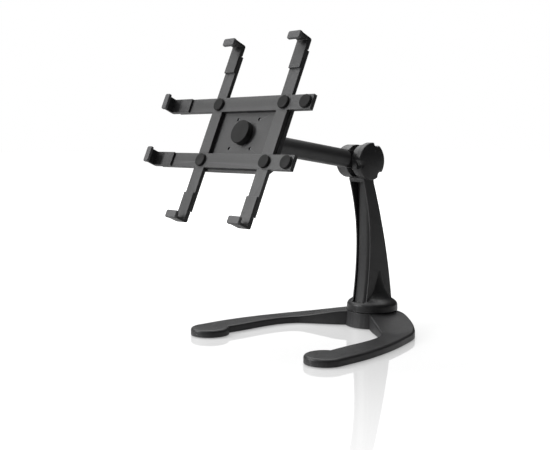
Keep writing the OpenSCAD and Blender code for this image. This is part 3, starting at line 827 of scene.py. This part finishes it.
def studio():
    """A backdrop that is white to the camera and in the floor's mirror, and dim to
    everything else."""
    world = bpy.data.worlds.new("Studio")
    world.use_nodes = True
    tree = world.node_tree
    tree.nodes.clear()
    path = add_node(tree, "LightPath")
    seen = add_node(tree, "Math", {"operation": "MAXIMUM"}, {
        0: path.outputs["Is Camera Ray"], 1: path.outputs["Is Singular Ray"]}).outputs[0]
    dim = add_node(tree, "Background", inputs={"Color": linear("#ffffff"), "Strength": 0.03})
    white = add_node(tree, "Background", inputs={"Color": linear("#ffffff"), "Strength": 1.0})
    both = add_node(tree, "MixShader", inputs={
        0: seen, 1: dim.outputs["Background"], 2: white.outputs["Background"]})
    add_node(tree, "OutputWorld", inputs={"Surface": both.outputs["Shader"]})
    bpy.context.scene.world = world


class STAND_OT_stage(bpy.types.Operator):
    """Builds the pale floor, the soft lights and the camera"""

    bl_idname = "stand.stage"
    bl_label = "Stage"

    def execute(self, context):
        scene = context.scene
        # White acrylic sheet: a pale floor with a faint mirror that fades away from the
        # stand. To the camera it is brighter than the light that it throws back up.
        mat, tree, bsdf = new_material("Acrylic sheet white polished", {
            "Base Color": linear("#bababa"), "IOR": 1.45, "Roughness": 0.0,
            "Emission Color": linear("#ffffff")})
        place = add_node(tree, "TexCoord").outputs["Object"]
        away = add_node(tree, "VectorMath", {"operation": "LENGTH"}, {0: place})
        shine = add_node(tree, "MapRange", inputs={
            "Value": away.outputs["Value"], "From Min": 0.2, "From Max": 1.5,
            "To Min": 0.6, "To Max": 0.0})
        tree.links.new(shine.outputs["Result"], bsdf.inputs["Specular IOR Level"])
        glow = add_node(tree, "MapRange", inputs={
            "Value": away.outputs["Value"], "From Min": 0.2, "From Max": 1.3,
            "To Min": 0.36, "To Max": 1.0})
        lit = add_node(tree, "Math", {"operation": "MULTIPLY"}, {
            0: glow.outputs["Result"],
            1: add_node(tree, "LightPath").outputs["Is Camera Ray"]})
        tree.links.new(lit.outputs[0], bsdf.inputs["Emission Strength"])
        half = FLOOR_HALF
        mesh = bpy.data.meshes.new("floor")
        mesh.from_pydata([(-half, -half, 0), (half, -half, 0), (half, half, 0),
                          (-half, half, 0)], [], [(0, 1, 2, 3)])
        mesh.materials.append(mat)
        floor = bpy.data.objects.new("floor", mesh)
        scene.collection.objects.link(floor)
        studio()
        softbox("overhead", (-1.2, 0.2, 3.2), (0, -0.1, 0), (5, 5), 200)
        softbox("left", (-0.9, -1.3, 0.7), (0, -0.1, 0.12), (0.4, 0.7), 15)
        scene.view_settings.view_transform = "Standard"
        az, el = VIEW_AZIMUTH, VIEW_ELEVATION
        back_way = Vector((math.sin(az) * math.cos(el), -math.cos(az) * math.cos(el),
                           math.sin(el)))
        data = bpy.data.cameras.new("camera")
        data.sensor_width, data.lens = 36, VIEW_LENS
        data.shift_y = VIEW_SHIFT
        data.clip_start, data.clip_end = 0.01, 50
        camera = bpy.data.objects.new("camera", data)
        camera.location = VIEW_PLACE
        camera.rotation_mode = "QUATERNION"
        camera.rotation_quaternion = (-back_way).to_track_quat("-Z", "Y")
        scene.collection.objects.link(camera)
        scene.camera = camera
        return {"FINISHED"}


# ---- Settings and panel -------------------------------------------------------------

def length(name, description, mm):
    return FloatProperty(name=name, description=description, default=mm * MM, min=0.0,
                         unit="LENGTH", subtype="DISTANCE", precision=5)


def colour(name, description, hex_colour):
    return FloatVectorProperty(name=name, description=description, size=4, subtype="COLOR",
                               default=linear(hex_colour), min=0.0, max=1.0)


class StandSizes(bpy.types.PropertyGroup):
    """Sizes of the stand"""

    arm_top: length("Arm top", "Height of the flat top of the base's arms", 8.8)
    arm_rounding: length("Arm rounding", "Radius along the arms' top edges", 3)
    paddle_radius: length("Paddle radius", "Radius of the round end of each arm", 21)
    hub_radius: length("Hub radius", "Radius of the hub under the column", 29)
    hub_top: length("Hub top", "Height of the hub's top face", 18)
    column_width: length("Column width", "Width across the column's flat sides", 22)
    barrel_radius: length("Barrel radius", "Radius of the pivot barrel", 18)
    knob_radius: length("Knob radius", "Radius of the clamp knob over its lobes", 20.3)
    knob_notches: IntProperty(name="Knob notches", description="Finger notches in the knob",
                              default=3, min=2, max=8)
    tube_radius: length("Tube radius", "Radius of the arm's tube", 9.75)
    tablet_width: length("Tablet width", "Width of the tablet that the clips hold", 241.2)
    tablet_height: length("Tablet height", "Height of the tablet that the clips hold", 185.7)
    tablet_thickness: length("Tablet thickness", "Thickness of the tablet", 8.8)
    clip_width: length("Clip width", "Width of a clip's cap", 17)


class StandColours(bpy.types.PropertyGroup):
    """Colours of the stand"""

    abs_black: colour("Black ABS", "Base, column, arm, knob and holder", "#1e1e1f")
    cap_grey: colour("Grey caps", "Soft caps on the clips", "#4a4a4b")
    rubber: colour("Rubber", "Feet and pads", "#1b1b1b")
    steel: colour("Steel", "Screws, ball and bolt", "#9a9c9e")
    nylon: colour("Nylon", "Friction rings and discs", "#d8d4c8")
    brass: colour("Brass", "Threaded insert", "#b8963e")


STEPS = (STAND_OT_finishes, STAND_OT_base, STAND_OT_column, STAND_OT_front,
         STAND_OT_barrel_cap, STAND_OT_knob, STAND_OT_arm, STAND_OT_clips, STAND_OT_caps,
         STAND_OT_softened, STAND_OT_hardware, STAND_OT_stage)


class STAND_PT_panel(bpy.types.Panel):
    """Lists the steps that build the stand, with its sizes and colours"""

    bl_idname = "STAND_PT_panel"
    bl_label = "Tablet stand"
    bl_space_type = "VIEW_3D"
    bl_region_type = "UI"
    bl_category = "Tablet stand"

    def draw(self, context):
        """Draws a button for each step, then the settings."""
        for step in STEPS:
            self.layout.operator(step.bl_idname)
        for group in (context.scene.stand_sizes, context.scene.stand_colours):
            box = self.layout.box()
            for key in group.__annotations__:
                box.prop(group, key)


CLASSES = (StandSizes, StandColours, *STEPS, STAND_PT_panel)


def register():
    """Adds the stand's classes and settings."""
    for cls in CLASSES:
        bpy.utils.register_class(cls)
    bpy.types.Scene.stand_sizes = PointerProperty(type=StandSizes)
    bpy.types.Scene.stand_colours = PointerProperty(type=StandColours)


def unregister():
    """Takes the stand's classes and settings away again."""
    del bpy.types.Scene.stand_colours
    del bpy.types.Scene.stand_sizes
    for cls in reversed(CLASSES):
        bpy.utils.unregister_class(cls)


def main():
    """Builds the whole stand."""
    register()
    bpy.ops.stand.finishes()
    bpy.ops.stand.base()
    bpy.ops.stand.column()
    bpy.ops.stand.front()
    bpy.ops.stand.barrel_cap()
    bpy.ops.stand.knob()
    bpy.ops.stand.arm()
    bpy.ops.stand.clips()
    bpy.ops.stand.caps()
    bpy.ops.stand.softened()
    bpy.ops.stand.hardware()
    bpy.ops.stand.stage()


if __name__ == "__main__":
    main()
